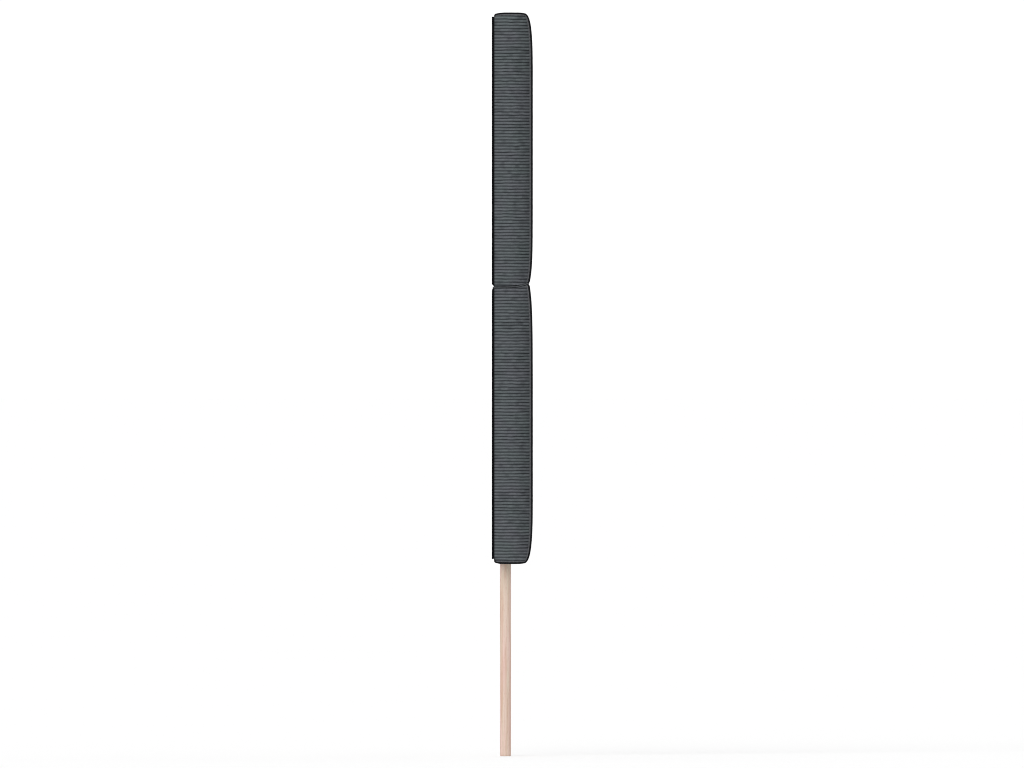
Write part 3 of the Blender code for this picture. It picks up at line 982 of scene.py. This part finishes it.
def cord(name, top, shaded_valley):
    """Twisted thread: paler on the plies, darker between them with painted shade, with fine fibres.
    """
    made = Nodes(name, 0.85, 0.1)
    ply = made.attribute("ply")
    fibre = made.noise((3000, 3000, 3000), 2.0)
    # Painted shade: the colour darkens between the plies, where the grooves of the twist lie.
    base = made.mix(made.span(ply, 0.1, 0.9), shaded_valley, top)
    made.colour(made.mix(made.span(fibre, 0.35, 0.65, 0.0, 0.4), base, shaded_valley))
    made.bump(fibre, 0.00005, 0.6)
    return made.material


def lining_cloth():
    """Thin black cloth, close and matt."""
    made = Nodes("lining_cloth", 0.9, 0.08)
    warp = made.math("SINE", made.math("MULTIPLY", made.noise((1, 9000, 1), 0.0), 40.0))
    weave = made.noise((4000, 4000, 4000), 1.0)
    made.colour(made.mix(weave, linear(14, 14, 16), linear(30, 30, 33)))
    made.bump(made.math("ADD", warp, weave), 0.00003, 0.5)
    return made.material


def black_board():
    """Black board: dense and flat, with a faint fibre and faint paler clouds."""
    made = Nodes("black_board", 0.75, 0.04)
    fibre = made.noise((900, 900, 900), 4.0)
    cloud = made.noise((60, 60, 40), 2.0, (0.5, 0.2, 0.1))
    base = made.mix(fibre, linear(5, 5, 7), linear(16, 16, 18))
    made.colour(made.mix(made.span(cloud, 0.4, 0.7, 0.0, 0.6), base, linear(20, 20, 22)))
    made.bump(fibre, 0.00004, 0.4)
    return made.material


def pale_wood():
    """Pale close-grained wood: long streaks up the handle, pinkish and straw."""
    made = Nodes("pale_wood", 0.62, 0.25)
    streak = made.noise((520, 520, 24), 3.0)
    fine = made.noise((2400, 2400, 40), 2.0, (0.4, 0.7, 0.2))
    slow = made.noise((260, 260, 14), 2.0, (0.2, 0.9, 0.5))
    base = made.mix(made.span(slow, 0.35, 0.65), linear(217, 188, 179), linear(206, 191, 172))
    base = made.mix(made.span(streak, 0.45, 0.70, 0.0, 0.8), base, linear(194, 160, 140))
    base = made.mix(made.span(fine, 0.5, 0.8, 0.0, 0.4), base, linear(186, 151, 130))
    pores = made.noise((5200, 5200, 260), 1.0, (0.1, 0.3, 0.8))
    base = made.mix(made.span(pores, 0.62, 0.72, 0.0, 0.45), base, linear(160, 122, 96))
    made.colour(base)
    made.bump(made.math("ADD", streak, fine), 0.00006, 0.5)
    return made.material


def foam_material():
    """Cream foam with open cells."""
    made = Nodes("foam", 0.95, 0.1)
    cell = made.tree.nodes.new("ShaderNodeTexVoronoi")
    made.put(cell.inputs["Vector"], made.stretch((1400, 1400, 1400)))
    cell.inputs["Scale"].default_value = 1.0
    made.colour(made.mix(cell.outputs["Distance"], linear(226, 220, 200), linear(188, 178, 150)))
    made.bump(cell.outputs["Distance"], 0.0002, 0.8)
    return made.material


def floor():
    """A plain pale floor that runs out of sight."""
    made = Nodes("pale_floor", 0.9, 0.0)
    shade = made.noise((3, 3, 3), 2.0)
    made.colour(made.mix(shade, (0.955, 0.955, 0.955, 1), (0.965, 0.965, 0.965, 1)))
    mesh = bpy.data.meshes.new("pale_floor")
    reach = FLOOR_REACH
    corners = [(-reach, -reach, 0), (reach, -reach, 0), (reach, reach, 0), (-reach, reach, 0)]
    mesh.from_pydata(corners, [], [(0, 1, 2, 3)])
    mesh.materials.append(made.material)
    ground = bpy.data.objects.new("pale_floor", mesh)
    bpy.context.scene.collection.objects.link(ground)


def sun(name, strength, tilt, turn, spread):
    """A broad soft light from far away. tilt is from straight down, turn is round Z."""
    light = bpy.data.lights.new(name, "SUN")
    light.energy = strength
    light.angle = math.radians(spread)
    lamp = bpy.data.objects.new(name, light)
    lamp.rotation_euler = (math.radians(tilt), 0, math.radians(turn))
    bpy.context.scene.collection.objects.link(lamp)


def studio():
    """Two suns and a plain world, which looks whiter to the camera than it lights."""
    world = bpy.data.worlds.new("studio")
    bpy.context.scene.world = world
    world.use_nodes = True
    tree = world.node_tree
    seen = tree.nodes.new("ShaderNodeLightPath")
    glow = tree.nodes["Background"]
    glow.inputs["Color"].default_value = (1, 1, 1, 1)
    level = tree.nodes.new("ShaderNodeMapRange")
    tree.links.new(seen.outputs["Is Camera Ray"], level.inputs["Value"])
    level.inputs["To Min"].default_value = WORLD_LIGHT
    level.inputs["To Max"].default_value = WORLD_SEEN
    tree.links.new(level.outputs["Result"], glow.inputs["Strength"])
    sun("key", *KEY_SUN)
    sun("fill", *FILL_SUN)


def camera():
    """A long lens that looks along +Y, square to the side of the tool."""
    data = bpy.data.cameras.new("view")
    data.lens = VIEW_LENS
    data.sensor_width = SENSOR
    data.clip_end = 1000
    distance = VIEW_WIDTH * VIEW_LENS / SENSOR
    made = bpy.data.objects.new("view", data)
    made.location = (VIEW_CENTRE[0], VIEW_PLANE - distance, VIEW_CENTRE[1])
    made.rotation_euler = (math.pi / 2, 0, 0)
    bpy.context.scene.collection.objects.link(made)
    bpy.context.scene.camera = made


camera()
studio()
floor()
bpy.context.scene.view_settings.view_transform = "Standard"
bpy.context.scene.cycles.filter_width = 1.0
cloth = ribbed_cloth()
edging = bias_strip()
thread = cord("seam_thread", linear(92, 92, 96), linear(48, 48, 52))
string = cord("tie_cord", linear(92, 95, 98), linear(54, 56, 59))
right_side = side_panel("right_side_cloth", "right_side_panel", -1, cloth)
left_side = side_panel("left_side_cloth", "left_side_panel", 1, cloth)
band = front_band(cloth)
rim_stitching(thread)
piping("right_edge_piping", "right_piping", -1, edging)
piping("left_edge_piping", "left_piping", 1, edging)
seam_thread("right_seam_thread", -1, right_side, band, thread)
seam_thread("left_seam_thread", 1, left_side, band, thread)
waist_tie(left_side, string)
rear_lining(lining_cloth())
handle(pale_wood())
board_finish = black_board()
upper_end = BOARD_LOW.z
lower_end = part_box("lower_back_board")[1].z
upper_knee = ((0, 1), (upper_end - 0.0004, upper_end + 0.0012))
lower_knee = ((0, 0.75, 1), (lower_end + 0.0004, lower_end + 0.0001, lower_end - 0.0016))
board("upper_board", "upper_back_board", upper_knee, board_finish)
board("lower_board", "lower_back_board", lower_knee, board_finish)
foam_finish = foam_material()
for foam in FOAMS:
    foam_slab(foam, foam_finish)
